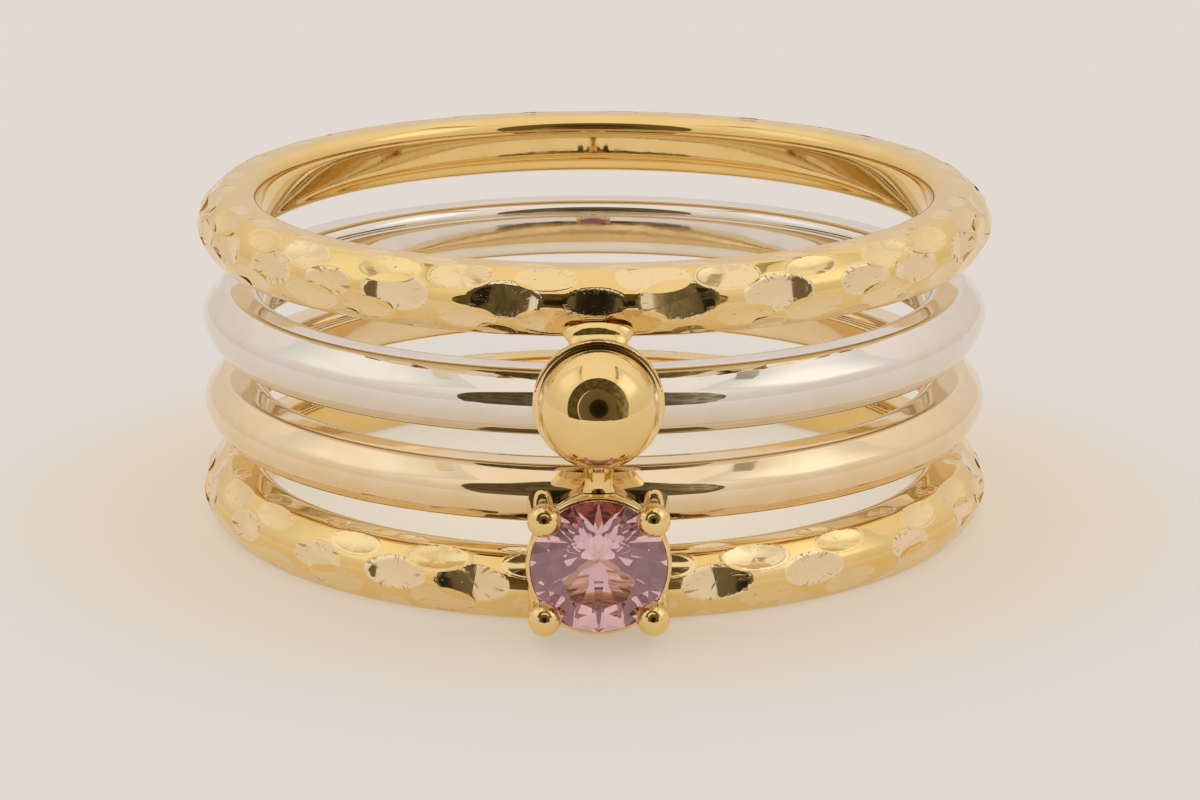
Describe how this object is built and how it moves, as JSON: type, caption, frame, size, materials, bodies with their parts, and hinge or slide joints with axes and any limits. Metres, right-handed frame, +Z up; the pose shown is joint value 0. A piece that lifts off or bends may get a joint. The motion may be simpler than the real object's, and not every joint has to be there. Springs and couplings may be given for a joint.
{
  "type": "stackable ring",
  "caption": "Stacked finger ring: hammered and smooth gold bands held apart in air, joined at the front by a gold ball in a cup and a claw-set round pink stone.",
  "frame": {"origin": "centre of the base of the ring's box, on the plane of the lowest band's flat lower side; the finger axis is 1.36 mm behind it", "axes": "+Z up along the finger axis, the stone and the ball facing -Y, +X to the right as seen from the front"},
  "size_m": [0.02, 0.0228, 0.0084],
  "materials": {
    "hammered_yellow_gold": "hammered and polished yellow gold",
    "polished_yellow_gold": "mirror-polished yellow gold",
    "white_gold": "polished white gold",
    "pink_stone": "faceted mauve-pink gemstone"
  },
  "bodies": {
    "root": {"hammered_band_upper": "hammered_yellow_gold", "white_band": "white_gold", "plain_band": "polished_yellow_gold", "hammered_band_lower": "hammered_yellow_gold", "ball_cup": "polished_yellow_gold", "ball": "polished_yellow_gold", "claw_setting": "polished_yellow_gold", "stone": "pink_stone"}
  },
  "joints": []
}
